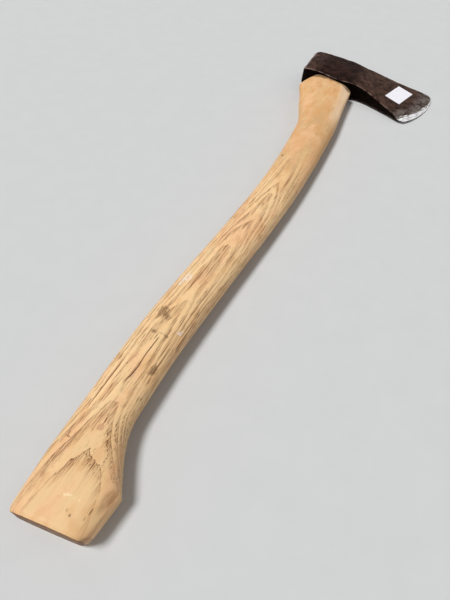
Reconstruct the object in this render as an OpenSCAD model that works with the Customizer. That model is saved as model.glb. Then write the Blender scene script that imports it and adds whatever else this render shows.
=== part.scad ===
// Single bit axe lying on its side: a forged steel head on a curved wooden
// haft, held by a wooden wedge and a small steel one, with a paper price label.
//
// Every piece is drawn in the axes of the head. Zero is the middle of the eye
// at the underside of the head, x runs from the poll to the cutting edge,
// y runs up the haft and z runs across the thickness.
// laid_down() then rolls the axe over until its cheek, its bit and its knob
// touch the table. All lengths are in millimetres.

/* [Head] */
// From the middle of the eye back to the flat of the poll
poll_reach = 39.5; // [34:0.5:45]
// How much further back the poll stands at its top than at its bottom
poll_lean = 4; // [0:0.5:6]
// From the middle of the eye out to the furthest point of the edge
edge_reach = 128.5; // [115:0.5:145]
// Height of the head over the eye
head_height = 63; // [56:0.5:74]
// Thickness over the cheeks at the eye
cheek_thickness = 27; // [24:0.5:32]
// Thickness of the poll
poll_thickness = 24.5; // [20:0.5:27]
// Height of the underside above zero at the poll
poll_lift = 3; // [1:0.5:7]
// How much higher the underside is behind the eye than at the poll
heel_hollow = 2; // [0:0.5:4]
// How much lower the top is at the poll than over the eye
poll_dip = 2.5; // [0:0.5:3]
// Rounding of the rim of the poll
poll_round = 6; // [2:0.5:7]
// From the middle of the eye to the throat, where the bit begins
throat_reach = 33; // [30:1:40]
// Height of the underside above zero at the throat
throat_lift = 7.5; // [3:0.5:11]
// Thickness at the throat
throat_thickness = 22; // [18:0.5:25]
// Thickness half way from the throat to the edge
bit_thickness = 12.4; // [9:0.2:15]
// How much lower the top is half way along the bit than over the eye
bit_dip = 1.5; // [0:0.5:4]
// How much thinner the cheeks are at their top and bottom, in percent
cheek_crown = 6; // [0:1:15]
// Rounding along the rims of the cheeks
rim_round = 2; // [1:0.25:4]

/* [Edge] */
// Radius of the curve of the cutting edge
edge_radius = 114; // [105:1:250]
// Height above zero at which the edge reaches furthest
edge_belly = 40; // [32:1:56]
// Depth of the heel below zero
heel_drop = 26; // [12:0.5:32]
// Rise of the toe above the top of the head
toe_rise = 3.8; // [0:0.1:10]
// Length cut off each side of the heel by its rounding
heel_round = 7; // [4:0.5:9]
// Length cut off each side of the toe by its rounding
toe_round = 12; // [5:0.5:14]
// Width of the ground bevel behind the edge
bevel_width = 10; // [5:0.5:15]
// Thickness where the ground bevel begins
bevel_thickness = 4.2; // [3:0.2:6]
// Thickness left on the worn edge
edge_land = 0.4; // [0.3:0.1:0.8]

/* [Eye] */
// Length of the eye at the underside
eye_length = 45; // [40:0.5:48]
// Width of the eye at the underside
eye_width = 17; // [15:0.5:18]
// How much smaller the eye is at its waist
eye_waist = 1.2; // [0.4:0.2:2]
// How much larger the eye is at the top, where the wedge spreads the tenon
eye_flare = 1.6; // [0.4:0.2:2.5]
// Gap left between the tenon and the wall of the eye
eye_fit = 0.1; // [0.05:0.05:0.3]

/* [Haft] */
// Length from the underside of the head to the middle of the butt
haft_length = 581.5; // [500:0.5:680]
// How far the tenon stands out of the top of the eye
tenon_proud = 2.5; // [1:0.5:5]
// Cut off the rim of the top of the tenon
tenon_chamfer = 0.8; // [0.2:0.2:2]
// Gap between the head and the collar, where the wood swells out of the eye
collar_gap = 1; // [0.5:0.5:3]
// Width of the collar
collar_width = 48; // [45:0.5:54]
// Thickness of the collar
collar_thickness = 21; // [18:0.5:22]
// Distance of the shoulder below the head
shoulder_drop = 12; // [11:0.5:22]
// How far the shoulder slants from front to back, each way from its middle
shoulder_slant = 12; // [0:0.5:13]
// Shift of the shoulder towards the edge
shoulder_shift = 0.6; // [-2:0.1:4]
// Width of the shoulder
shoulder_width = 63; // [54:1:70]
// Thickness of the shoulder
shoulder_thickness = 23.5; // [20:0.5:26]
// Distance of the hip below the head, where the shoulder starts to narrow
hip_drop = 60; // [45:1:75]
// Shift of the hip towards the edge
hip_shift = 12; // [8:0.5:18]
// Width of the hip
hip_width = 56; // [48:1:62]
// Distance of the neck below the head
neck_drop = 110; // [95:1:140]
// Shift of the neck towards the edge
neck_shift = 24.3; // [18:0.5:30]
// Width of the neck
neck_width = 44; // [38:1:50]
// Distance of the belly below the head, where the haft swings out furthest
belly_drop = 255; // [200:5:300]
// Shift of the belly towards the edge
belly_shift = 33.5; // [25:0.5:42]
// Width of the belly
belly_width = 39.5; // [36:0.5:46]
// Width of the lower grip
grip_width = 38.5; // [34:0.5:46]
// Thickness of the grip
grip_thickness = 23; // [19:0.5:27]
// How far the lower grip swings back from the belly
grip_return = 3.2; // [0:0.1:8]

/* [Knob] */
// Distance from the narrowest part of the haft to the point of the knob
flare_length = 45; // [32:1:65]
// Shift of the narrowest part towards the edge, beyond the lower grip
narrow_shift = 3; // [0:0.5:6]
// Width of the haft at its narrowest, above the knob
narrow_width = 37.5; // [32:0.5:44]
// Shift of the knob towards the edge, beyond the belly
knob_shift = 12.4; // [6:0.1:18]
// Width across the point of the knob
knob_width = 56; // [48:0.5:64]
// Thickness of the knob
knob_thickness = 27; // [24:0.5:32]
// Length from the point of the knob to the butt
knob_length = 33.5; // [25:0.5:50]
// Shift of the butt towards the edge, beyond the knob
butt_shift = 1; // [-4:0.5:6]
// Width of the butt
butt_width = 50; // [44:0.5:58]
// Thickness of the butt
butt_thickness = 25.5; // [22:0.5:30]
// How far the butt slants from front to back, each way from its middle
butt_slant = 3.7; // [0:0.1:8]
// Rounding of the rim of the butt
butt_round = 2; // [1:0.5:4]

/* [Wedges] */
// Depth of the wooden wedge below the top of the tenon
wedge_depth = 46; // [30:1:55]
// Thickness of the wooden wedge at its head
wedge_thickness = 4.6; // [3:0.2:6]
// Thickness of the wooden wedge at its tip
wedge_tip = 1; // [0.6:0.1:2]
// Depth of the steel wedge below the top of the tenon
cleat_depth = 22; // [14:1:28]
// Length of the steel wedge along the top of the tenon
cleat_length = 20; // [14:0.5:24]
// Thickness of the steel wedge at its head
cleat_thickness = 2.6; // [1.6:0.2:3.4]
// Thickness of the steel wedge at its tip
cleat_tip = 0.5; // [0.3:0.1:1]
// Angle of the steel wedge from the line of the wooden one
cleat_angle = 38; // [25:1:45]

/* [Label] */
// Size of the label along the head
label_width = 21.3; // [15:0.1:26]
// Size of the label across the head
label_height = 38.3; // [25:0.1:42]
// Distance of the middle of the label from the middle of the eye
label_reach = 88; // [84:0.5:92]
// Height of the middle of the label above zero
label_lift = 29; // [26:0.5:35]
// Turn of the label, clockwise seen from above
label_turn = 12.8; // [0:0.1:20]
// Thickness of the paper
label_paper = 0.25; // [0.2:0.05:0.4]
// Thickness of the glue under the paper
label_glue = 0.05; // [0.02:0.01:0.1]

/* [Detail] */
// Points round the haft and the eye
haft_sides = 32; // [24:4:40]
// Greatest distance between two sections of the haft
haft_step = 9; // [8:1:14]
// Sections of the head along the eye
eye_sections = 10; // [8:1:14]
// Sections of the head from the throat to the bevel
bit_sections = 14; // [10:1:18]
// Points up each cheek of the head
cheek_points = 14; // [10:2:18]
// Sections of the eye from bottom to top
eye_steps = 6; // [4:1:10]
// Sections of the knob from its point to the butt
knob_sections = 3; // [2:1:5]

/* [Hidden] */

steel_colour = [0.20, 0.16, 0.15];
wood_colour = [0.87, 0.70, 0.47];
wedge_colour = [0.93, 0.84, 0.66];
cleat_colour = [0.52, 0.52, 0.54];
paper_colour = [0.97, 0.97, 0.98];

// Exponents of the rounded sections: 2 is an ellipse, more is squarer
eye_section = 2.3;
shoulder_section = 2.8;
grip_section = 2.3;
knob_section = 3;

// Share of the fall from the throat to the heel that is reached half way
half_way_fall = 0.52;
// Share of the way from the belly to the narrowest part at which the grip ends
lower_share = 0.7;
// Exponent with which the sections of the bit bend towards the curve of the edge
bit_curl = 1.5;
// Points on each rounded rim of a cheek, and on the rim of the poll
rim_points = 4;
// Rounds in which the resting place on the table is found
settle_rounds = 24;

// Curves through a few stations

// Slope of every column between station i and the next one
function secant(rows, i) =
    (rows[i + 1] - rows[i]) / (rows[i + 1][0] - rows[i][0]);

// Slope between two neighbouring secants that never overshoots a station
function mild_slope(a, b) =
    [for (c = [0 : len(a) - 1]) a[c] * b[c] <= 0 ? 0 : 2 * a[c] * b[c] / (a[c] + b[c])];

function slope_at(rows, i) =
    i == 0 ? (3 * secant(rows, 0) - slope_at(rows, 1)) / 2
    : i == len(rows) - 1 ? (3 * secant(rows, i - 1) - slope_at(rows, i - 1)) / 2
    : mild_slope(secant(rows, i - 1), secant(rows, i));

// Smooth row of values at d, which is the first column of the stations
function station(rows, d) =
    let (
        i = max([for (k = [0 : len(rows) - 2]) if (k == 0 || rows[k][0] <= d) k]),
        span = rows[i + 1][0] - rows[i][0],
        u = (d - rows[i][0]) / span,
        v = 1 - u
    )
    rows[i] * (1 + 2 * u) * v * v + slope_at(rows, i) * span * u * v * v
    + rows[i + 1] * (3 - 2 * u) * u * u - slope_at(rows, i + 1) * span * u * u * v;

function mix(a, b, u) = a * (1 - u) + b * u;
function bend(a, corner, b, u) = mix(mix(a, corner, u), mix(corner, b, u), u);
function spread(a, b, count) = [for (k = [0 : count]) mix(a, b, k / count)];
function tail(list) = [for (k = [1 : len(list) - 1]) list[k]];
function joined(lists) = [for (one = lists) each one];

// Solid skin over rings of equal length. Point j of a ring faces point
// n - 1 - j across the thickness, and the two ends are closed between them.
module loft(rings) {
    n = len(rings[0]);
    last = (len(rings) - 1) * n;
    sides = [for (i = [0 : len(rings) - 2], j = [0 : n - 1])
        let (a = i * n + j, b = i * n + (j + 1) % n)
        each [[a, b, b + n], [a, b + n, a + n]]];
    first_end = [for (j = [0 : n / 2 - 2])
        each [[j + 1, j, n - 1 - j], [j + 1, n - 1 - j, n - 2 - j]]];
    last_end = [for (j = [0 : n / 2 - 2])
        each [[j, j + 1, n - 1 - j] + last * [1, 1, 1],
              [j + 1, n - 2 - j, n - 1 - j] + last * [1, 1, 1]]];
    polyhedron(joined(rings), concat(sides, first_end, last_end), convexity = 6);
}

// Rounded section with half lengths a in x and b in z, lying across the haft
function oval(a, b, power) =
    [for (j = [0 : haft_sides - 1])
        let (turn = 360 * (j + 0.5) / haft_sides, c = cos(turn), s = sin(turn))
        [a * sign(c) * pow(abs(c), 2 / power), b * sign(s) * pow(abs(s), 2 / power)]];

// Outline of the head

top_height = head_height + toe_rise;
bit_middle = (throat_reach + edge_reach) / 2;
bevel_start = edge_reach - bevel_width;

// Places where the curved edge meets the line of the underside and of the top
function edge_x(y) =
    edge_reach - edge_radius + sqrt(edge_radius * edge_radius - pow(y - edge_belly, 2));
heel_corner = [edge_x(-heel_drop), -heel_drop];
toe_corner = [edge_x(top_height), top_height];

underside = [
    [-poll_reach, poll_lift],
    [-eye_length / 2, poll_lift + heel_hollow],
    [eye_length / 4, 0],
    [throat_reach, throat_lift],
    [bit_middle, mix(throat_lift, -heel_drop, half_way_fall)],
    heel_corner
];
topside = [
    [-poll_reach, head_height - poll_dip],
    [-eye_length / 2, head_height],
    [bit_middle, head_height - bit_dip],
    toe_corner
];
thickness = [
    [-poll_reach, poll_thickness],
    [-eye_length / 4, cheek_thickness],
    [eye_length / 4, cheek_thickness],
    [throat_reach, throat_thickness],
    [bit_middle, bit_thickness],
    [bevel_start, bevel_thickness]
];

heel_start = station(underside, heel_corner.x - heel_round);
heel_end = [edge_x(heel_round - heel_drop), heel_round - heel_drop];
toe_start = station(topside, toe_corner.x - toe_round);
toe_end = [edge_x(top_height - toe_round), top_height - toe_round];
edge_span = top_height + heel_drop;
heel_share = heel_round / edge_span;
toe_share = toe_round / edge_span;

// Point of the edge at t, from the heel at 0 to the toe at 1
function edge_point(t) =
    t < heel_share ? bend(heel_start, heel_corner, heel_end, t / heel_share)
    : t > 1 - toe_share ? bend(toe_end, toe_corner, toe_start, (t - 1 + toe_share) / toe_share)
    : let (y = mix(heel_end.y, toe_end.y, (t - heel_share) / (1 - heel_share - toe_share)))
        [edge_x(y), y];

// Share of the way from the throat to the edge
function bit_share(reach) =
    max(0, (reach - throat_reach) / (edge_reach - throat_reach));
// How far the rounded rim of the poll has drawn in
function poll_draw(reach) =
    let (inside = max(0, poll_round - reach - poll_reach))
    poll_round - sqrt(poll_round * poll_round - inside * inside);
function half_thickness(reach) =
    reach > bevel_start
    ? mix(bevel_thickness, edge_land, (reach - bevel_start) / bevel_width) / 2
    : station(thickness, reach)[1] / 2 - poll_draw(reach);

function low_point(reach) =
    let (u = bit_share(reach), x = u == 0 ? reach : mix(throat_reach, heel_start.x, u))
    [x, station(underside, x).y + poll_draw(reach)];
function high_point(reach) =
    let (
        u = bit_share(reach),
        x = u == 0 ? reach : mix(throat_reach, toe_start.x, u),
        lean = poll_lean * max(0, -reach / poll_reach)
    )
    [x - lean, station(topside, x).y - poll_draw(reach)];

// Shares of the height and of the thickness up one cheek, from rim to rim
function cheek_profile(height, half) =
    let (r = min(rim_round, 0.8 * half), steps = spread(0, 90, rim_points - 1))
    concat(
        [for (a = steps) [r * (1 - cos(a)) / height, 1 - r * (1 - sin(a)) / half]],
        [for (i = [1 : cheek_points - 1])
            [mix(r / height, 1 - r / height, (1 - cos(180 * i / cheek_points)) / 2), 1]],
        [for (a = steps) [1 - r * (1 - sin(a)) / height, 1 - r * (1 - cos(a)) / half]]
    );

// Points up one cheek of the section of the head at a reach from the eye
function cheek_line(reach) =
    let (
        low = low_point(reach),
        high = high_point(reach),
        half = half_thickness(reach),
        belly = pow(bit_share(reach), bit_curl)
    )
    [for (share = cheek_profile(norm(high - low), half))
        let (
            t = share[0],
            at = mix(low, high, t) + belly * (edge_point(t) - mix(heel_start, toe_start, t)),
            crown = 1 - cheek_crown / 100 * pow(2 * t - 1, 2)
        )
        [at.x, at.y, half * share[1] * crown]];

function mirrored(line) =
    [for (i = [len(line) - 1 : -1 : 0]) [line[i].x, line[i].y, -line[i].z]];

poll_reaches = [for (a = spread(0, 90, rim_points - 1)) poll_round * (1 - cos(a)) - poll_reach];
eye_reaches = spread(poll_round - poll_reach, throat_reach, eye_sections);
bit_reaches = spread(throat_reach, bevel_start, bit_sections);
bevel_reaches = [(bevel_start + edge_reach) / 2, edge_reach];
head_rings = [for (reach = concat(poll_reaches, tail(eye_reaches), tail(bit_reaches), bevel_reaches))
    let (line = cheek_line(reach)) concat(line, mirrored(line))];

// Eye and tenon

tenon_top = head_height + tenon_proud;

// Half lengths of the eye at a height: a waist in the middle, wider on top
function eye_half(y, full) =
    let (u = y / head_height)
    (full - eye_waist * sin(180 * min(1, max(0, u))) + eye_flare * max(0, u)) / 2;
function eye_ring(y, fit) =
    [for (p = oval(eye_half(y, eye_length) - fit, eye_half(y, eye_width) - fit, eye_section))
        [p.x, y, p.y]];
eye_heights = spread(0, head_height, eye_steps);
eye_rings = concat(
    [eye_ring(-heel_drop, 0)],
    [for (y = eye_heights) eye_ring(y, 0)],
    [eye_ring(top_height + tenon_proud, 0)]
);
// The tenon begins where the underside of the head crosses the eye
tenon_mouth = [for (p = oval(1, 1, eye_section))
    let (y = station(underside, p.x * (eye_length / 2 - eye_fit)).y)
    [p.x * (eye_half(y, eye_length) - eye_fit), y, p.y * (eye_half(y, eye_width) - eye_fit)]];
tenon_rings = concat(
    [tenon_mouth],
    [for (y = tail(eye_heights)) eye_ring(y, eye_fit)],
    [eye_ring(tenon_top - tenon_chamfer, eye_fit)],
    [eye_ring(tenon_top, eye_fit + tenon_chamfer)]
);

// Haft
// Each station: drop below the head, shift towards the edge, width,
// thickness, squareness of the section and slant

knob_drop = haft_length - knob_length;
narrow_drop = knob_drop - flare_length;
lower_drop = mix(belly_drop, narrow_drop, lower_share);
lower_shift = belly_shift - grip_return;
knob_middle = belly_shift + knob_shift;
haft_stations = [
    [shoulder_drop, shoulder_shift, shoulder_width, shoulder_thickness,
     shoulder_section, shoulder_slant],
    [hip_drop, hip_shift, hip_width, shoulder_thickness, grip_section, 0],
    [neck_drop, neck_shift, neck_width, grip_thickness, grip_section, 0],
    [belly_drop, belly_shift, belly_width, grip_thickness, grip_section, 0],
    [lower_drop, lower_shift, grip_width, grip_thickness, grip_section, 0],
    [narrow_drop, lower_shift + narrow_shift, narrow_width, grip_thickness, grip_section, 0],
    [knob_drop, knob_middle, knob_width, knob_thickness, knob_section, 0]
];
// The rim of the butt is drawn in by its rounding
butt_rim = [haft_length - butt_round, knob_middle + butt_shift, butt_width, butt_thickness,
            knob_section, butt_slant];
butt_face = butt_rim + butt_round * [1, 0, -1, -1, 0, 0];

function haft_ring(row) =
    [for (p = oval(row[2] / 2, row[3] / 2, row[4]))
        [row[1] + p.x, 2 * row[5] * p.x / row[2] - row[0], p.y]];
// The collar follows the underside of the head round the mouth of the eye
collar_ring =
    [for (p = oval(collar_width / 2, collar_thickness / 2, shoulder_section))
        [p.x, station(underside, p.x).y - collar_gap, p.y]];

haft_count = ceil((knob_drop - shoulder_drop) / haft_step);
haft_drops = spread(knob_drop, shoulder_drop, haft_count);
haft_rings = concat(
    [haft_ring(butt_face)],
    [for (row = spread(butt_rim, station(haft_stations, knob_drop), knob_sections)) haft_ring(row)],
    [for (d = tail(haft_drops)) haft_ring(station(haft_stations, d))],
    [collar_ring],
    tenon_rings
);

// Resting place on the table

head_skin = joined(head_rings);
haft_skin = joined(haft_rings);
cheek_skin = [for (p = head_skin) if (p.x <= throat_reach) p];
bit_skin = [for (p = head_skin) if (p.x > throat_reach) p];
knob_skin = [for (p = haft_skin) if (p.y < -narrow_drop) p];

function tipped(p, roll, pitch) =
    let (
        x = p.x * cos(roll) + p.z * sin(roll),
        z = p.z * cos(roll) - p.x * sin(roll)
    )
    [x, p.y * cos(pitch) - z * sin(pitch), p.y * sin(pitch) + z * cos(pitch)];
function lowest(points, roll, pitch) =
    min([for (p = points) tipped(p, roll, pitch).z]);

// Turns the axe a little further each round until cheek, bit and knob are level
function settled(roll, pitch, rounds) =
    rounds <= 0 ? [roll, pitch] :
    let (
        cheek = lowest(cheek_skin, roll, pitch),
        bit = lowest(bit_skin, roll, pitch),
        knob = lowest(knob_skin, roll, pitch)
    )
    settled(
        roll + atan((bit - cheek) / edge_reach),
        pitch + atan((knob - cheek) / haft_length),
        rounds - 1
    );
rest = settled(0, 0, settle_rounds);

laid_points = [for (p = concat(head_skin, haft_skin)) tipped(p, rest[0], rest[1])];
laid_low = [for (c = [0 : 2]) min([for (p = laid_points) p[c]])];
laid_high = [for (c = [0 : 2]) max([for (p = laid_points) p[c]])];
foot = [(laid_low.x + laid_high.x) / 2, (laid_low.y + laid_high.y) / 2, laid_low.z];

module laid_down() {
    translate(-foot)
    rotate([rest[1], 0, 0])
    rotate([0, rest[0], 0])
        children();
}

// Wedge with its head at y = 0 and its tip pointing down, along x
module driven_wedge(length, depth, head, tip, fit) {
    linear_extrude(length, center = true)
    polygon([
        [-head / 2 - fit, 1],
        [-head / 2 - fit, 0],
        [-tip / 2 - fit, -depth - fit],
        [tip / 2 + fit, -depth - fit],
        [head / 2 + fit, 0],
        [head / 2 + fit, 1]
    ]);
}

module wooden_wedge_shape(fit) {
    translate([0, tenon_top, 0])
    rotate([0, 90, 0])
        driven_wedge(2 * eye_length, wedge_depth, wedge_thickness, wedge_tip, fit);
}

module steel_wedge_shape(fit) {
    translate([0, tenon_top, 0])
    rotate([0, 90 + cleat_angle, 0])
        driven_wedge(cleat_length + 2 * fit, cleat_depth, cleat_thickness, cleat_tip, fit);
}

// Thin sheet that follows the upper cheek of the bit between two heights
module cheek_sheet(low, high) {
    lines = [for (reach = bit_reaches)
        let (line = cheek_line(reach)) [for (i = [rim_points : len(line) - rim_points - 1]) line[i]]];
    loft([for (line = lines) concat(
        [for (p = line) p + [0, 0, high]],
        [for (i = [len(line) - 1 : -1 : 0]) line[i] + [0, 0, low]])]);
}

module head() {
    color(steel_colour)
    laid_down()
    difference() {
        loft(head_rings);
        loft(eye_rings);
    }
}

module haft() {
    color(wood_colour)
    laid_down()
    difference() {
        loft(haft_rings);
        wooden_wedge_shape(0);
        steel_wedge_shape(0);
    }
}

module wooden_wedge() {
    color(wedge_colour)
    laid_down()
    difference() {
        intersection() {
            loft(tenon_rings);
            wooden_wedge_shape(0);
        }
        steel_wedge_shape(0);
    }
}

module steel_wedge() {
    color(cleat_colour)
    laid_down()
    intersection() {
        loft(tenon_rings);
        steel_wedge_shape(0);
    }
}

module price_label() {
    color(paper_colour)
    laid_down()
    intersection() {
        cheek_sheet(label_glue, label_glue + label_paper);
        translate([label_reach, label_lift, 0])
        rotate(-label_turn)
        linear_extrude(cheek_thickness)
            square([label_width, label_height], center = true);
    }
}

head();
haft();
wooden_wedge();
steel_wedge();
price_label();
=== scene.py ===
# An old single bit axe lying on its side on a plain floor: forged head with a
# ground edge, open pored wooden haft, its two wedges and a bare paper label.
#
# Shapes are worked in the axe's own axes and in millimetres: zero is the middle
# of the eye at the underside of the head, x runs towards the edge, y up the
# haft and z across the thickness. The materials read the same axes.

import math

import bmesh
import bpy
import numpy as np
from mathutils import Matrix, Vector, noise


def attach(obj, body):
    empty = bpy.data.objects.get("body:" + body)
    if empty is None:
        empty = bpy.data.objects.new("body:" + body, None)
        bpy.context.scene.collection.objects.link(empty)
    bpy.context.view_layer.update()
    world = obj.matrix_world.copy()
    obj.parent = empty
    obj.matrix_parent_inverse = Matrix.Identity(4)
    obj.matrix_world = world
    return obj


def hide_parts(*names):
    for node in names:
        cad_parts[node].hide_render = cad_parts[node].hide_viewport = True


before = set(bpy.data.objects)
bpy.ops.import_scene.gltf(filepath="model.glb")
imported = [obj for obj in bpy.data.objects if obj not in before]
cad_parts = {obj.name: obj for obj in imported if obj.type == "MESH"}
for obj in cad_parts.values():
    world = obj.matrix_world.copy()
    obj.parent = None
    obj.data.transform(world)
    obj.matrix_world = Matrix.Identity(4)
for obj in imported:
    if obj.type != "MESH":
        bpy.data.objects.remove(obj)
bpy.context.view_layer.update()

MM = 0.001

# How the axe lies on the floor, as the part's source works it out: its turns
# about its own axes, and the point that is then at the frame's origin
REST_ROLL = math.radians(6.26059)
REST_PITCH = math.radians(-0.435604)
FOOT = Vector((41.9921, -259.822, -15.2087))

LAID = (
    Matrix.Scale(MM, 4)
    @ Matrix.Translation(-FOOT)
    @ Matrix.Rotation(REST_PITCH, 4, "X")
    @ Matrix.Rotation(REST_ROLL, 4, "Y")
)
STOOD = LAID.inverted()


# Meshes

# Points of a CAD mesh closer than this many metres are one
WELD = 1e-6
# Turns in degrees: up to the first, two triangles make a quad, and beyond the
# second a finished surface is shaded with a sharp edge
QUAD_TURN = 40
SHARP_TURN = 38
SUBDIVISIONS = 3
# Edges of a CAD mesh that turn by more than this many degrees stay sharp
KEPT_TURN = 42
KEPT_TURN_ACROSS_HAFT = 22
# Character of the noise in waves(): how fast the smaller waves fade, and how
# many times smaller each octave is
NOISE_FALL = 0.9
NOISE_STEP = 2.1


def moved(points, matrix):
    m = np.array(matrix)
    return points @ m[:3, :3].T + m[:3, 3]


def read_vectors(mesh, field):
    flat = np.empty(len(mesh.vertices) * 3)
    mesh.vertices.foreach_get(field, flat)
    return flat.reshape(-1, 3)


def in_own_axes(mesh):
    """The points and the normals of a mesh in the axe's own axes."""
    turn = np.array(STOOD.to_3x3().normalized())
    return moved(read_vectors(mesh, "co"), STOOD), read_vectors(mesh, "normal") @ turn.T


def write_attribute(mesh, name, values):
    values = np.asarray(values, dtype=np.float32)
    kind, field = ("FLOAT", "value") if values.ndim == 1 else ("FLOAT_VECTOR", "vector")
    mesh.attributes.new(name, kind, "POINT").data.foreach_set(field, values.ravel())


def lay(mesh, points, **fields):
    """Lays new points, given in the axe's own axes, on the floor, and writes
    what the material reads at each of them."""
    write_attribute(mesh, "axe", points)
    for name, values in fields.items():
        write_attribute(mesh, name, values)
    laid = np.ascontiguousarray(moved(points, LAID), dtype=np.float32)
    mesh.vertices.foreach_set("co", laid.ravel())
    mesh.update()


def refined(node, name, kept_along, kept_across):
    """A finer copy of a CAD node: its quads put together again, its sharp edges
    kept, and the rest subdivided smoothly. An edge stays sharp if it turns by
    more than kept_along degrees, or kept_across where it runs across the axe."""
    bm = bmesh.new()
    bm.from_mesh(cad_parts[node].data)
    bmesh.ops.remove_doubles(bm, verts=bm.verts, dist=WELD)
    bmesh.ops.join_triangles(
        bm,
        faces=bm.faces,
        angle_face_threshold=math.radians(QUAD_TURN),
        angle_shape_threshold=math.pi,
    )
    crease = bm.edges.layers.float.new("crease_edge")
    for edge in bm.edges:
        turn = math.degrees(edge.calc_face_angle(0))
        run = STOOD.to_3x3() @ (edge.verts[1].co - edge.verts[0].co)
        across = abs(run.y) < 0.5 * run.length
        if turn > (kept_across if across else kept_along):
            edge[crease] = 1
    coarse = bpy.data.meshes.new(name + "_coarse")
    bm.to_mesh(coarse)
    bm.free()
    piece = bpy.data.objects.new(name, coarse)
    bpy.context.scene.collection.objects.link(piece)
    smooth = piece.modifiers.new("Smooth", "SUBSURF")
    smooth.levels = SUBDIVISIONS
    smooth.render_levels = SUBDIVISIONS
    graph = bpy.context.evaluated_depsgraph_get()
    fine = bpy.data.meshes.new_from_object(piece.evaluated_get(graph))
    fine.name = name
    piece.modifiers.clear()
    piece.data = fine
    bpy.data.meshes.remove(coarse)
    fine.materials.clear()
    return piece


def finished(piece, node, body, material):
    """Shades a piece, gives it its material and puts it in the CAD node's place."""
    piece.data.shade_smooth()
    piece.data.set_sharp_from_angle(angle=math.radians(SHARP_TURN))
    piece.data.materials.append(material)
    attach(piece, body)
    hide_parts(node)


def waves(points, size, octaves, offset):
    """Noise of about -1 to 1 at each point; size is the length of its largest
    waves in mm, one number or one for each axis, and offset shifts it."""
    scaled = points / np.asarray(size, dtype=float) + offset
    return np.array([noise.fractal(p, NOISE_FALL, NOISE_STEP, octaves) for p in scaled])


def swell(points, table):
    """The sum of some waves, each a row of height and what waves() takes."""
    return sum(height * waves(points, *wave) for height, *wave in table)


def smoothstep(low, high, value):
    u = np.clip((value - low) / (high - low), 0, 1)
    return u * u * (3 - 2 * u)


def read_off(table, y):
    """The value at y of a table of places along y and their values."""
    places, values = np.array(table, dtype=float).T
    return np.interp(y, places, values)


def planed(points, through, normal, softness, reach):
    """Takes off what stands beyond a plane, as a spokeshave does. through is a
    point of the plane, or points along y that a bent plane follows. softness
    rounds the arris that is left; reach says where along y the plane is used,
    as the ends and the ends of its full depth."""
    normal = np.asarray(normal, dtype=float)
    normal /= np.linalg.norm(normal)
    start, full, full_end, end = reach
    y = points[:, 1]
    used = smoothstep(start, full, y) * smoothstep(end, full_end, y)
    line = np.atleast_2d(np.asarray(through, dtype=float))
    if len(line) > 1:
        x, z = (np.interp(y, line[:, 1], line[:, axis]) for axis in (0, 2))
        line = np.stack([x, y, z], axis=1)
    beyond = (points - line) @ normal
    rounded = np.where(beyond < -softness, 0, (beyond + softness) ** 2 / (4 * softness))
    cut = np.where(beyond > softness, beyond, rounded)
    return points - (cut * used)[:, None] * normal


# Material nodes


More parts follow.
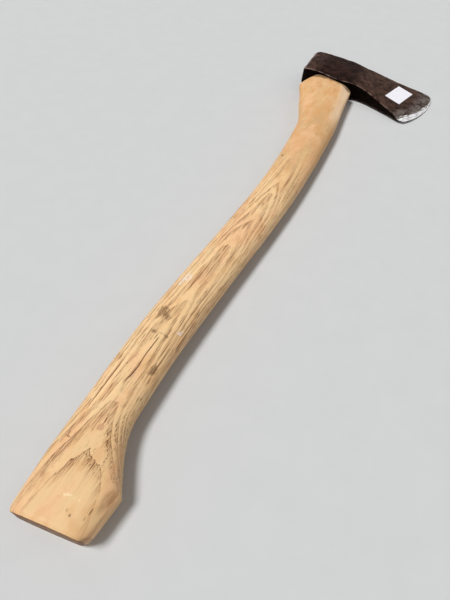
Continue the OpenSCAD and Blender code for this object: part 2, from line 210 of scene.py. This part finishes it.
class Nodes:
    """The nodes of one material, written as plain steps."""

    def __init__(self, name):
        self.material = bpy.data.materials.new(name)
        self.material.use_nodes = True
        self.tree = self.material.node_tree
        self.shader = self.tree.nodes["Principled BSDF"]

    def put(self, value, socket):
        if isinstance(value, bpy.types.NodeSocket):
            self.tree.links.new(value, socket)
        elif isinstance(value, tuple) and socket.type == "RGBA":
            socket.default_value = (*value, 1)
        else:
            socket.default_value = value

    def node(self, kind, inputs, **settings):
        """A node with its settings and with some inputs, by name or number."""
        node = self.tree.nodes.new("ShaderNode" + kind)
        for name, setting in settings.items():
            setattr(node, name, setting)
        for socket, value in inputs.items():
            self.put(value, node.inputs[socket])
        return node

    def math(self, operation, a, b=0.0):
        return self.node("Math", {0: a, 1: b}, operation=operation).outputs[0]

    def joined(self, operation, terms):
        result = terms[0]
        for term in terms[1:]:
            result = self.math(operation, result, term)
        return result

    def total(self, *terms):
        return self.joined("ADD", terms)

    def product(self, *terms):
        return self.joined("MULTIPLY", terms)

    def highest(self, *terms):
        return self.joined("MAXIMUM", terms)

    def field(self, name):
        """A number that make_haft() or make_head() wrote on the mesh."""
        return self.node("Attribute", {}, attribute_name=name).outputs["Fac"]

    def place(self):
        """The place in the axe's own axes, in mm."""
        return self.node("Attribute", {}, attribute_name="axe").outputs["Vector"]

    def object_place(self):
        """The place in the object's axes, in metres."""
        return self.node("TexCoord", {}).outputs["Object"]

    def stretched(self, vector, factors):
        inputs = {0: vector, 1: factors}
        return self.node("VectorMath", inputs, operation="MULTIPLY").outputs[0]

    def shifted(self, vector, by):
        return self.node("VectorMath", {0: vector, 1: by}, operation="ADD").outputs[0]

    def split(self, vector):
        return self.node("SeparateXYZ", {0: vector}).outputs

    def merged(self, x, y, z):
        return self.node("CombineXYZ", {0: x, 1: y, 2: z}).outputs[0]

    def noise(self, vector, scale, detail=3, rough=0.55):
        inputs = {"Vector": vector, "Scale": scale, "Detail": detail, "Roughness": rough}
        return self.node("TexNoise", inputs).outputs["Fac"]

    def streaks(self, vector, per_mm, detail=3, rough=0.55, offset=None):
        """Noise with per_mm waves in a mm along each axis; offset shifts it, so
        that two noises of one size differ."""
        scaled = self.stretched(vector, per_mm)
        if offset is not None:
            scaled = self.shifted(scaled, offset)
        return self.noise(scaled, 1, detail, rough)

    def cells(self, vector):
        """Distance to the nearest of points scattered about 1 apart."""
        inputs = {"Vector": vector, "Scale": 1}
        return self.node("TexVoronoi", inputs).outputs["Distance"]

    def ranged(self, value, low, high, to_low=0.0, to_high=1.0):
        """A smooth step from to_low, where value is low, to to_high at high."""
        inputs = {
            "Value": value,
            "From Min": low,
            "From Max": high,
            "To Min": to_low,
            "To Max": to_high,
        }
        node = self.node("MapRange", inputs, interpolation_type="SMOOTHSTEP")
        return node.outputs["Result"]

    def mix(self, share, a, b):
        """Colour a with a share of colour b in it."""
        inputs = {"Factor": share, 6: a, 7: b}
        return self.node("Mix", inputs, data_type="RGBA").outputs[2]

    def coated(self, colour, *coats):
        """A colour with coats over it in turn, each given as share and colour."""
        for share, coat in coats:
            colour = self.mix(share, colour, coat)
        return colour

    def bump(self, height, distance):
        inputs = {"Height": height, "Distance": distance}
        return self.node("Bump", inputs).outputs["Normal"]

    def surface(self, **values):
        """Sets sockets of the shader; an underscore stands for a space."""
        for name, value in values.items():
            self.put(value, self.shader.inputs[name.replace("_", " ")])


def srgb(red, green, blue):
    """A colour as it is seen on the screen, 0 to 255, in linear light."""

    def linear(channel):
        c = channel / 255
        return c / 12.92 if c <= 0.04045 else ((c + 0.055) / 1.055) ** 2.4

    return linear(red), linear(green), linear(blue)


# Growth rings

# The haft was sawn flat from a board. Its growth rings lie almost level and dip
# slowly, so each leaves a long pointed arch on the upper face where it comes
# out. These are the places along the haft where the tips of the arches lie,
# from the head down. Each table below gives places along the haft and values.
RING_WIDTH = 1.5
ARCH_TIPS = (40, -60, -160, -232, -247, -290, -315, -400, -437, -536, -580, -680)
# Where across the haft the tips lie
ARCH_LINE = (
    (-590, 46),
    (-520, 42),
    (-437, 33),
    (-326, 34),
    (-294, 37),
    (-232, 33),
    (-100, 24),
    (60, 4),
)
# How far a ring falls in each mm beside the tips, on the lower haft
FALL_POLL = ((-536, 0.085), (-500, 0.12), (-300, 0.12))
FALL_EDGE = ((-536, 0.012), (-500, 0.11), (-300, 0.12))
# How far an arch runs down the haft in each mm beside its tip, on the upper haft
SLOPE_POLL = 3.6
SLOPE_EDGE = 2.8
# Where the fall gives way to the slope: 0 is all fall, 1 all slope
UPPER_HAFT = ((-420, 0.0), (-370, 1.0))
# Rounding of the tips in square mm, and the mm that keep them in their places
TIP_ROUNDING = 0.8
TIP_SHIFT = 0.9
# Height at which the tips are counted, and how much of the rings' own height
# counts: little at the knob, whose face is carved across them
RING_TOP = ((-590, 13.2), (-555, 13.2), (-520, 11.9), (-480, 11.5), (-30, 11.6))
RING_LEVEL = ((-545, 0.25), (-505, 1.0))
# How the rings wander, and how much of that shows
RING_WAVES = ((0.3, (16, 120, 16), 2, 3.0), (0.14, (5, 28, 5), 2, 7.0))
RING_STRAY = ((-540, 0.4), (-490, 1.0))


def ring_depth(points):
    """Rings passed at each point, counted from the head along the upper face."""
    x, y, z = points.T
    tips = np.array(ARCH_TIPS[::-1], dtype=float)
    count = np.arange(len(tips), 0, -1, dtype=float)
    across = x - read_off(ARCH_LINE, y)
    to_poll = across < 0
    aside = np.sqrt(across**2 + TIP_ROUNDING) - TIP_SHIFT
    upper = read_off(UPPER_HAFT, y)
    fall = np.where(to_poll, read_off(FALL_POLL, y), read_off(FALL_EDGE, y))
    spread = (1 - upper) * fall * aside
    slope = upper * np.where(to_poll, SLOPE_POLL, SLOPE_EDGE)
    height = (z - read_off(RING_TOP, y)) * read_off(RING_LEVEL, y)
    level = (height - spread) / RING_WIDTH
    stray = swell(points, RING_WAVES) * read_off(RING_STRAY, y)
    return np.interp(y + slope * aside, tips, count) + level + stray


def ring_rate(points, normals):
    """How many rings are passed in one mm over the surface."""
    across = np.cross(normals, (0.0, 1.0, 0.0))
    across /= np.maximum(np.linalg.norm(across, axis=1), 1e-6)[:, None]
    along = np.cross(across, normals)

    def rate(direction, step):
        change = ring_depth(points + step * direction)
        change = change - ring_depth(points - step * direction)
        return change / (2 * step)

    return np.hypot(rate(across, 0.5), rate(along, 2))


# Wood

# Pores cut lengthwise: waves in a mm across and along the haft, offset and half
# width in the noise that draws them, how rare they are, and their strength
PORES = (
    (0.66, 0.009, (3, 1, 9), 0.02, 0.48, 1.0),
    (0.8, 0.02, (8, 6, 2), 0.022, 0.5, 0.7),
    (1.2, 0.045, (1, 7, 5), 0.03, 0.45, 0.36),
)
# Depth of the relief of the wood and of the steel, in metres
WOOD_RELIEF = 0.0002
STEEL_RELIEF = 0.0005


def wood_grain(n, place, wander):
    """Growth rings: a dark line, then open pores that thin out, then dense wood.
    Gives how dark each point is, how porous the wood is there, and how much of
    the tint of early wood shows."""
    x, y, _ = n.split(place)
    rings = n.field("ring")
    rate = n.field("ring_rate")
    knob = n.ranged(y, -500, -525)

    # behind is the distance from the ring line over the surface, in mm
    ragged = n.product(n.total(wander, -0.5), n.ranged(knob, 0, 1, 0.1, 0.2))
    phase = n.math("FRACT", n.total(rings, ragged))
    behind = n.math("DIVIDE", phase, n.highest(rate, 0.012))
    porous = n.product(
        n.ranged(behind, 0.1, 0.5),
        n.ranged(behind, 0.6, 7, 1.0, 0.0),
        n.ranged(phase, 0.4, 0.95, 1.0, 0.0),
    )
    early = n.product(n.ranged(phase, 0.0, 0.04), n.ranged(phase, 0.3, 0.75, 1.0, 0.0))

    # The ring line itself, broken here and there, and faint where rings are close
    after = n.product(behind, n.ranged(knob, 0, 1, 1.0, 0.55))
    breaks = n.streaks(place, (0.9, 0.1, 0.9), offset=(5, 2, 7))
    line = n.product(
        n.ranged(after, 0.0, 0.12),
        n.ranged(after, 0.22, 0.45, 1.0, 0.0),
        n.ranged(breaks, 0.36, 0.5),
        n.highest(n.ranged(rate, 0.07, 0.16, 1.0, 0.12), n.product(knob, 0.8)),
        n.ranged(knob, 0, 1, 0.75, 1.0),
    )

    # Pores are fine dark hairlines, which run out and start again, and are more
    # and thicker behind each ring line
    patchy = n.streaks(place, (0.1, 0.02, 0.1))
    hairlines = []
    for across, along, offset, width, rarity, strength in PORES:
        drawn = n.streaks(place, (across, along, across), 1, 0.4, offset)
        off = n.math("ABSOLUTE", n.total(drawn, -0.5))
        off = n.math("SUBTRACT", off, n.product(porous, 0.2 * width))
        shorter = (across * 0.9, along * 4.5, across * 0.9)
        lasting = n.total(
            n.streaks(place, shorter, 2, offset=offset),
            n.product(porous, 0.1),
            n.product(early, 0.26),
            -0.15,
            n.product(n.total(patchy, -0.5), 0.45),
        )
        hairline = n.product(
            n.ranged(off, 1.15 * width, 0.5 * width),
            n.ranged(lasting, rarity, rarity + 0.06),
        )
        hairlines.append(n.product(hairline, strength))

    # The grain is closed near the head, most open on the lower haft, and worn
    # smooth within the knob's arch, at its butt and on its front
    knob_front = n.product(n.ranged(x, 52, 59), n.ranged(y, -500, -518), -0.4)
    open_grain = n.product(
        n.ranged(y, -150, -240, 0.08, 0.72),
        n.ranged(y, -370, -420, 1.0, 1.2),
        n.ranged(rings, 10.08, 10.3, 1.0, 0.2),
        n.ranged(y, -562, -548, 0.55, 1.0),
        n.total(knob_front, 1.0),
    )
    dark = n.product(n.highest(line, *hairlines), open_grain)
    return dark, porous, n.product(early, open_grain)


def wood_tint(n, place, early):
    """Broad tints, with pink and grey patches from the hands that held it, and
    painted shade that darkens the wood towards the head and on the neck.
    """
    x, y, _ = n.split(place)
    broad = n.streaks(place, (0.03, 0.008, 0.03))
    patch = n.streaks(place, (0.06, 0.022, 0.06), 4, offset=(7, 3, 1))
    soft = n.streaks(place, (0.14, 0.06, 0.14), 4, offset=(2, 9, 4))
    small = n.streaks(place, (0.22, 0.08, 0.22), 5, 0.6, (6, 2, 3))
    near_head = n.ranged(y, -190, -100)
    neck_shade = n.product(n.ranged(y, -210, -150), n.ranged(y, -55, -100))
    handled = n.product(n.ranged(soft, 0.5, 0.62), n.ranged(near_head, 0, 1, 0.35, 0.8))
    pared = n.field("pared")
    pared_neck = n.product(pared, n.ranged(y, -300, -200), n.ranged(x, 2, 10))
    pared_knob = n.product(
        pared,
        n.ranged(y, -400, -500),
        n.ranged(x, 45, 55),
        n.ranged(soft, 0.36, 0.56, 0.25, 0.65),
    )
    return n.coated(
        n.mix(n.ranged(broad, 0.35, 0.65), srgb(248, 206, 152), srgb(254, 214, 162)),
        # painted shade: darker towards the head, and more so on the neck
        (n.ranged(y, -270, -150, 0.0, 0.9), srgb(226, 178, 122)),
        (n.product(neck_shade, 0.6), srgb(208, 164, 114)),
        (n.ranged(y, -500, -545, 0.0, 0.7), srgb(238, 196, 142)),
        (n.product(n.ranged(patch, 0.46, 0.64), 0.65), srgb(243, 190, 142)),
        (handled, srgb(224, 168, 108)),
        (n.product(n.ranged(soft, 0.46, 0.34), 0.38), srgb(238, 206, 152)),
        (n.product(n.ranged(small, 0.56, 0.7), near_head, 0.4), srgb(200, 150, 100)),
        (n.product(n.ranged(small, 0.44, 0.32), near_head, 0.12), srgb(246, 204, 160)),
        (n.product(early, 0.16), srgb(214, 160, 106)),
        (pared_neck, srgb(255, 220, 180)),
        (pared_knob, srgb(164, 118, 74)),
    )


def wood_material():
    """Pale open pored hardwood, dry and worn, with dark end grain."""
    n = Nodes("haft_wood")
    place = n.place()
    _, y, _ = n.split(place)
    wander = n.streaks(place, (0.6, 0.06, 0.6), 3, 0.6)
    dark, porous, early = wood_grain(n, place, wander)

    # End grain drinks the dirt
    rays = n.streaks(place, (1.2, 1.2, 0.5), 3, 0.6)
    end = n.mix(n.ranged(rays, 0.35, 0.65), srgb(104, 66, 36), srgb(158, 112, 66))

    # Marks of use: smudges, scuffs that are chalky but yellow at the knob,
    # knots, and a split along the grain
    blotch = n.streaks(place, (0.9, 0.16, 0.9), 4, 0.7)
    smudged = n.product(
        n.ranged(n.field("smudge"), 0.1, 0.9), n.ranged(blotch, 0.34, 0.56, 0.2, 1.0)
    )
    flecks = n.streaks(place, (0.8, 0.5, 0.8), 3, 0.6)
    scuffed = n.product(n.ranged(n.field("scuff"), 0.1, 0.9), n.ranged(flecks, 0.44, 0.6))
    chalk = n.mix(n.ranged(y, -490, -530), srgb(252, 243, 246), srgb(254, 226, 178))
    from_check = n.total(n.field("check"), n.product(wander, 0.8), -0.4)
    split = n.product(
        n.ranged(n.math("ABSOLUTE", from_check), 0.5, 0.22), n.field("check_span")
    )

    # Painted shade where the wood meets the steel: a brown band with a ragged rim
    joint_shade_rim = n.streaks(place, (0.12, 0.12, 0.12), 4)
    joint_shade = n.total(n.product(y, -1), n.product(joint_shade_rim, -12))

    colour = n.coated(
        wood_tint(n, place, early),
        (dark, srgb(118, 66, 28)),
        (n.ranged(n.field("facing"), 0.55, 0.85), end),
        (n.product(smudged, 0.8), srgb(112, 74, 40)),
        (n.product(scuffed, 0.85), chalk),
        (n.product(n.ranged(n.field("knot"), 0.2, 0.7), 0.5), srgb(190, 132, 96)),
        (n.product(split, 0.9), srgb(96, 56, 28)),
        # painted shade where the wood meets the steel
        (n.product(n.ranged(joint_shade, 3, -4), 0.85), srgb(96, 72, 40)),
    )
    heights = n.total(
        n.product(dark, -1.0),
        n.product(porous, -0.2),
        n.product(split, -1.5),
        n.product(n.streaks(place, (1.5, 0.2, 1.5)), 0.5),
    )
    polish = n.streaks(place, (0.2, 0.05, 0.2))
    n.surface(
        Base_Color=colour,
        Roughness=n.ranged(polish, 0.3, 0.7, 0.5, 0.66),
        Normal=n.bump(heights, WOOD_RELIEF),
        IOR=1.45,
    )
    return n.material


# Steel


def forged_material():
    """Dark mottled forging skin, and the bright bevel ground along the edge."""
    n = Nodes("forged_steel")
    place = n.place()
    ground = n.field("ground")
    gap = n.field("gap")
    sweep = n.field("sweep")

    clouds = n.streaks(place, (0.05, 0.05, 0.05), 5, 0.6)
    mottle = n.streaks(place, (0.13, 0.13, 0.13), 5, 0.65, (4, 1, 8))
    grit = n.streaks(place, (1.0, 1.0, 1.0), 4, 0.6)
    pits = n.cells(n.shifted(n.stretched(place, (0.3, 0.3, 0.3)), n.product(grit, 0.8)))

    # Dark skin, browner away from the eye with a painted sheen there, rubbed at
    # the poll, rubbed and given a painted highlight on its arrises, and painted
    # shade below
    from_eye = n.math("ABSOLUTE", n.total(n.split(place)[0], -4.0))
    # Lighter brown mottles away from the eye, with a painted sheen in them
    mottled_sheen = n.product(n.ranged(from_eye, 18, 36), n.ranged(mottle, 0.38, 0.58, 0.2, 0.75))
    wear_and_highlight = n.ranged(n.total(n.field("worn"), n.product(grit, 0.45), mottle), 0.95, 1.2)
    skin = n.coated(
        n.mix(n.ranged(clouds, 0.38, 0.62), srgb(20, 6, 2), srgb(37, 18, 11)),
        (n.product(n.ranged(mottle, 0.48, 0.66), 0.7), srgb(62, 36, 26)),
        (n.product(n.ranged(mottle, 0.44, 0.32), 0.7), srgb(14, 5, 2)),
        (n.product(n.ranged(pits, 0.22, 0.02), 0.6), srgb(9, 4, 2)),
        (mottled_sheen, srgb(86, 64, 54)),
        # rubbed wear, with a painted highlight along the arrises
        (n.product(wear_and_highlight, 0.65), srgb(140, 118, 110)),
        # painted shade on the underside of the head
        (n.product(n.field("grimy"), 0.95), srgb(6, 3, 2)),
    )

    # The ground bevel: bright streaks along the edge, broken by dark ones, and
    # behind them a zone dulled by sharpening
    streaked = n.merged(n.product(sweep, 0.1), n.product(gap, 0.75), 0.0)
    honing = n.noise(streaked, 1, 3, 0.6)
    nicked = n.merged(n.product(sweep, 0.42), n.product(gap, 0.16), 4.0)
    nicks = n.noise(nicked, 1, 3, 0.6)
    reach = n.total(
        ground,
        n.product(n.total(honing, -0.5), 12.0),
        n.product(n.total(nicks, -0.5), 9.0),
    )
    rim = n.product(
        n.ranged(gap, 2.2, 0.8),
        n.ranged(gap, -1.0, 0.2),
        n.ranged(nicks, 0.38, 0.5),
        n.ranged(ground, 0.5, 2.0),
    )
    honed = n.highest(n.ranged(reach, 1.5, 4.0), rim)
    dulled = n.ranged(n.total(ground, n.product(mottle, 14.0)), -12, 6)
    grey = n.mix(n.ranged(mottle, 0.4, 0.6), srgb(66, 54, 50), srgb(120, 112, 106))
    silver = n.mix(n.ranged(honing, 0.36, 0.54), srgb(150, 144, 142), srgb(246, 245, 246))
    colour = n.coated(
        skin,
        (n.product(dulled, n.ranged(honing, 0.3, 0.6, 0.3, 0.9)), grey),
        (honed, silver),
    )

    heights = n.total(
        n.product(n.ranged(pits, 0.0, 0.3), 0.6),
        n.product(mottle, 0.9),
        n.product(grit, 0.5),
    )
    heights = n.total(
        n.product(heights, n.ranged(dulled, 0, 1, 1.0, 0.3)),
        n.product(honing, dulled, 0.35),
    )
    n.surface(
        Base_Color=colour,
        Metallic=n.ranged(honed, 0, 1, 0.08, 0.3),
        Roughness=n.ranged(dulled, 0, 1, 0.48, 0.5),
        Normal=n.bump(heights, STEEL_RELIEF),
        Specular_IOR_Level=0.03,
    )
    return n.material


# Haft

# Marks on the upper face: place across and along, half sizes, strength
SMUDGES = (
    (23.5, -426, 4.4, 6.0, 1.1),
    (29.5, -429, 3.2, 3.0, 0.8),
    (27.6, -444, 2.6, 1.8, 0.9),
    (32.5, -443.2, 2.4, 0.8, 0.7),
    (37.0, -443.3, 2.2, 0.9, 0.8),
    (43.9, -470, 2.6, 4.5, 1.0),
    (26.3, -475.3, 1.0, 1.2, 0.8),
    (13.6, -64.3, 1.2, 1.2, 0.7),
    (33.6, -131.3, 1.0, 1.0, 0.7),
    (53.7, -569.1, 0.6, 0.9, 1.1),
    (56.8, -570.3, 0.6, 0.9, 1.1),
    (15.8, -187, 1.6, 2.0, 1.2),
    (65.3, -563.0, 0.5, 2.2, 1.0),
    (64.4, -568.0, 0.4, 1.4, 0.9),
    (25.8, -535.7, 3.0, 0.6, 0.9),
    (25.2, -533.8, 0.5, 2.0, 0.8),
)
SCUFFS = (
    (20.5, -386, 3.6, 7.0, 0.75),
    (19.0, -394, 2.2, 3.4, 0.9),
    (43.6, -434.6, 1.8, 1.8, 1.6),
    (46.0, -563.4, 2.8, 0.8, 1.5),
    (50.4, -562.6, 3.0, 0.8, 1.6),
    (54.6, -562.2, 2.6, 0.8, 1.4),
    (51.6, -560.0, 1.4, 0.5, 1.0),
)
KNOTS = (
    (39.6, -521.3, 2.5, 2.6, 1.0),
    (28.4, -560.8, 1.8, 2.6, 0.7),
    (47.5, -421.4, 1.4, 3.4, 1.0),
)
# The split along the grain: places along and across
CHECK_LINE = ((-487, 33.2), (-481, 34.2), (-473, 34.4), (-462, 33.2), (-446, 33.4))
# Dents: place across and along, half size, depth
DENTS = (
    (15.8, -187, 2.2, 0.8),
    (33.6, -131.3, 1.6, 0.3),
    (13.6, -64.3, 1.6, 0.35),
    (26.3, -475.3, 1.2, 0.3),
)

# Arris of the facet pared on the edge side of the shoulder
FRONT_ARRIS = (
    (33.5, -75, 8.8),
    (31.5, -60, 9.0),
    (28.5, -40, 9.1),
    (25.0, -20, 9.4),
    (22.5, -11, 9.7),
    (19.0, -5, 10.2),
)
# Facets left by the drawknife, as planed() takes them: two on the knob's upper
# face, two at the corners of its butt, and two on the shoulder
FACETS = (
    ((64.5, -556, 12.1), (0.58, 0.0, 0.815), 0.5, (-600, -590, -545, -533)),
    ((26.5, -556, 12.0), (-0.50, 0.02, 0.866), 0.7, (-600, -590, -545, -520)),
    ((23.4, -584.0, 0.0), (-0.75, -0.66, 0.0), 2.2, (-600, -595, -572, -562)),
    ((70.1, -576.5, 0.0), (0.80, -0.60, 0.0), 2.6, (-600, -595, -568, -556)),
    (FRONT_ARRIS, (0.50, 0.0, 0.866), 0.25, (-84, -66, 0, 4)),
    ((-21.5, -11, 9.9), (-0.48, -0.10, 0.876), 0.5, (-50, -30, 0, 4)),
)
# Long and short waves of the hand-worked surface, as swell() takes them
HAFT_WAVES = ((0.16, (34, 90, 34), 3, 0.0), (0.05, (6, 30, 6), 2, 5.0))
# Share of the pared look that the wood beside the shoulder's front facet has
SHAVED_SHARE = 0.8


def spots(points, marks, ragged):
    """Strength at each point of a list of marks with ragged rims."""
    rims = waves(points, (3, 5, 3), 3, 11.0)
    result = np.zeros(len(points))
    for x, y, across, along, strength in marks:
        reach = np.hypot((points[:, 0] - x) / across, (points[:, 1] - y) / along)
        spot = strength * smoothstep(1.5, 0.3, reach + ragged * rims)
        result = np.maximum(result, np.where(points[:, 2] > 0, spot, 0))
    return result


def shaved_shoulder(points):
    """The pale band of wood shaved beside the shoulder's front facet."""
    x, y, z = points.T
    arris = np.array(FRONT_ARRIS)
    past = x - np.interp(y, arris[:, 1], arris[:, 0]) + waves(points, (8, 20, 8), 2, 17.0)
    along = smoothstep(-112, -70, y) * smoothstep(2, -3, y)
    return smoothstep(-6, 2, past) * along * (z > 1)


def make_haft():
    piece = refined("haft", "haft_dressed", KEPT_TURN, KEPT_TURN_ACROSS_HAFT)
    mesh = piece.data
    points, normals = in_own_axes(mesh)

    before = points
    for facet in FACETS:
        points = planed(points, *facet)
    pared = smoothstep(0.15, 0.6, np.linalg.norm(points - before, axis=1))
    pared = np.maximum(pared, SHAVED_SHARE * shaved_shoulder(points))

    # Hand-worked waves and dents, but not on the tenon in the eye
    shove = swell(points, HAFT_WAVES)
    outside = smoothstep(0, 4, -points[:, 1])
    for across, along, size, depth in DENTS:
        away = np.hypot(points[:, 0] - across, points[:, 1] - along)
        dent = depth * smoothstep(1.6 * size, 0.2 * size, away)
        shove = shove - dent * (points[:, 2] > 0)
    points = points + (shove * outside)[:, None] * normals

    x, y, z = points.T
    low, high = CHECK_LINE[0][0], CHECK_LINE[-1][0]
    check_span = smoothstep(low - 3, low + 3, y) * smoothstep(high + 1, high - 3, y)

    lay(
        mesh,
        points,
        ring=ring_depth(points),
        ring_rate=ring_rate(points, normals),
        facing=np.abs(normals[:, 1]),
        smudge=spots(points, SMUDGES, 0.5),
        scuff=spots(points, SCUFFS, 0.4),
        knot=spots(points, KNOTS, 0.1),
        pared=pared,
        check=x - read_off(CHECK_LINE, y),
        check_span=np.where(z > 0, check_span, 0),
    )
    finished(piece, "haft", "root", wood_material())


# Head

# The cutting edge is an arc: its middle and its radius
ARC_MIDDLE = (14.5, 40.0)
ARC_RADIUS = 114.0
# Width of the bright bevel at heights from the heel to the toe
BEVEL = ((-26, 9.0), (-14, 10.5), (5, 9.0), (30, 6.0), (50, 4.0), (64, 3.2))
# How far a face that isn't a cheek is from being ground
NOT_GROUND = 30
# Half sizes of the eye with its wall, where the head keeps its exact shape
EYE_REACH = (24.5, 10.2)
# Long and short waves left by the hammer, as swell() takes them
HEAD_WAVES = ((0.4, 30, 3, 0.0), (0.2, 8, 3, 4.0))


def make_head():
    piece = refined("head", "head_dressed", KEPT_TURN, KEPT_TURN)
    mesh = piece.data
    points, normals = in_own_axes(mesh)
    x, y, z = points.T

    # gap is the distance back from the edge and sweep the way along it; ground
    # is how far a point lies within the bevel
    gap = ARC_RADIUS - np.hypot(x - ARC_MIDDLE[0], y - ARC_MIDDLE[1])
    sweep = ARC_RADIUS * np.arctan2(y - ARC_MIDDLE[1], x - ARC_MIDDLE[0])
    slope = np.abs(normals[:, 2])
    on_face = smoothstep(0.25, 0.6, slope) + smoothstep(0.5, 0.9, normals[:, 0])
    off_face = (1 - np.clip(on_face, 0, 1)) * smoothstep(1.5, 3, gap)
    ground = read_off(BEVEL, y) - gap - NOT_GROUND * off_face

    calm = smoothstep(2, 14, gap)
    inside = np.hypot(x / EYE_REACH[0], z / EYE_REACH[1]) < 1
    shove = swell(points, HEAD_WAVES) * calm * ~inside
    points = points + shove[:, None] * normals

    # Wear at the poll, wear and a painted highlight on arrises, painted shade beneath
    arris = smoothstep(0.97, 0.8, slope) * smoothstep(0.1, 0.45, slope)
    poll = smoothstep(-28, -38, x)
    underside = smoothstep(0.35, 0.75, -normals[:, 1])
    lay(
        mesh,
        points,
        ground=ground,
        gap=gap,
        sweep=sweep,
        worn=0.34 * arris + 0.2 * poll,
        grimy=underside * smoothstep(0.5, 0.2, slope),
    )
    finished(piece, "head", "root", forged_material())


# Wedges and label

# These nodes keep their CAD meshes. Each has a material's name, its two tones,
# roughness, metallic share and depth of relief in metres
SMALL_LOOKS = {
    "wooden_wedge": ("wedge_wood", (150, 112, 72), (196, 158, 108), 0.62, 0.0, 0.0002),
    "steel_wedge": ("wedge_steel", (92, 70, 58), (132, 124, 118), 0.46, 0.7, 0.0003),
    "price_label": ("label_paper", (247, 244, 253), (252, 250, 255), 0.62, 0.0, 4e-5),
}
# Waves in a metre of the clouds and of the grain, and what the grain adds to and
# takes from the roughness
CLOUD_SCALE = 180
GRAIN_SCALE = 1400
ROUGHNESS_SPREAD = 0.06


def plain_material(name, low, high, rough, metallic, relief):
    """Small parts: two tones in clouds with a little grain."""
    n = Nodes(name)
    place = n.object_place()
    clouds = n.noise(place, CLOUD_SCALE, 4, 0.6)
    grain = n.noise(place, GRAIN_SCALE, 3, 0.6)
    smoothest, roughest = rough - ROUGHNESS_SPREAD, rough + ROUGHNESS_SPREAD
    n.surface(
        Base_Color=n.mix(n.ranged(clouds, 0.35, 0.65), srgb(*low), srgb(*high)),
        Roughness=n.ranged(grain, 0.3, 0.7, smoothest, roughest),
        Metallic=metallic,
        Normal=n.bump(grain, relief),
    )
    return n.material


def dress_small_nodes():
    for node, look in SMALL_LOOKS.items():
        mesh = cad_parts[node].data
        mesh.materials.clear()
        mesh.materials.append(plain_material(*look))


# Stage

# The floor reaches this many metres to each side
FLOOR_REACH = 40.0
# Lamps: name, direction that the light comes from, spread in degrees, power
LAMPS = (
    ("key", (-0.75, -0.6, 2.2), 18, 2.56),
    ("fill", (1.3, 0.4, 1.5), 40, 0.27),
)
# Focal length in mm for a sensor of 36 mm, place in metres, turns in degrees
CAMERA_LENS = 27.196
CAMERA_PLACE = (0.12699, -0.32911, 0.29462)
CAMERA_HEADING = 29.167
CAMERA_DIP = 50.175
CAMERA_ROLL = -0.923
# The world's light on the axe, and the pale grey that is seen behind the floor
WORLD_LIGHT = 0.18
WORLD_SEEN = 0.66


def make_floor():
    mesh = bpy.data.meshes.new("floor")
    corners = [
        (x * FLOOR_REACH, y * FLOOR_REACH, 0)
        for x, y in ((-1, -1), (1, -1), (1, 1), (-1, 1))
    ]
    mesh.from_pydata(corners, [], [(0, 1, 2, 3)])
    floor = bpy.data.objects.new("floor", mesh)
    bpy.context.scene.collection.objects.link(floor)
    n = Nodes("floor")
    grain = n.ranged(n.noise(n.object_place(), 40), 0.3, 0.7)
    tone = n.mix(grain, srgb(208, 209, 209), srgb(210, 211, 211))
    n.surface(Base_Color=tone, Roughness=0.85)
    mesh.materials.append(n.material)


def make_lamp(name, place, spread, power):
    """A broad soft lamp far off, in the direction of place."""
    data = bpy.data.lights.new(name, "SUN")
    data.angle = math.radians(spread)
    data.energy = power
    lamp = bpy.data.objects.new(name, data)
    lamp.location = place
    lamp.rotation_euler = (-Vector(place)).to_track_quat("-Z", "Y").to_euler()
    bpy.context.scene.collection.objects.link(lamp)


def make_camera():
    data = bpy.data.cameras.new("camera")
    data.lens = CAMERA_LENS
    camera = bpy.data.objects.new("camera", data)
    camera.matrix_world = (
        Matrix.Translation(CAMERA_PLACE)
        @ Matrix.Rotation(math.radians(CAMERA_HEADING), 4, "Z")
        @ Matrix.Rotation(math.radians(90 - CAMERA_DIP), 4, "X")
        @ Matrix.Rotation(math.radians(CAMERA_ROLL), 4, "Z")
    )
    bpy.context.scene.collection.objects.link(camera)
    bpy.context.scene.camera = camera


def make_world():
    world = bpy.data.worlds.new("world")
    world.use_nodes = True
    tree = world.node_tree
    background = tree.nodes["Background"]
    background.inputs["Color"].default_value = (1, 1, 1, 1)
    path = tree.nodes.new("ShaderNodeLightPath")
    seen = path.outputs["Is Camera Ray"]
    for ray in ("Is Glossy Ray", "Is Transmission Ray"):
        either = tree.nodes.new("ShaderNodeMath")
        either.operation = "MAXIMUM"
        tree.links.new(seen, either.inputs[0])
        tree.links.new(path.outputs[ray], either.inputs[1])
        seen = either.outputs[0]
    strength = tree.nodes.new("ShaderNodeMix")
    tree.links.new(seen, strength.inputs[0])
    strength.inputs[2].default_value = WORLD_LIGHT
    strength.inputs[3].default_value = WORLD_SEEN
    tree.links.new(strength.outputs[0], background.inputs["Strength"])
    bpy.context.scene.world = world


make_haft()
make_head()
dress_small_nodes()
make_floor()
for lamp in LAMPS:
    make_lamp(*lamp)
make_camera()
make_world()
bpy.context.scene.view_settings.view_transform = "Standard"
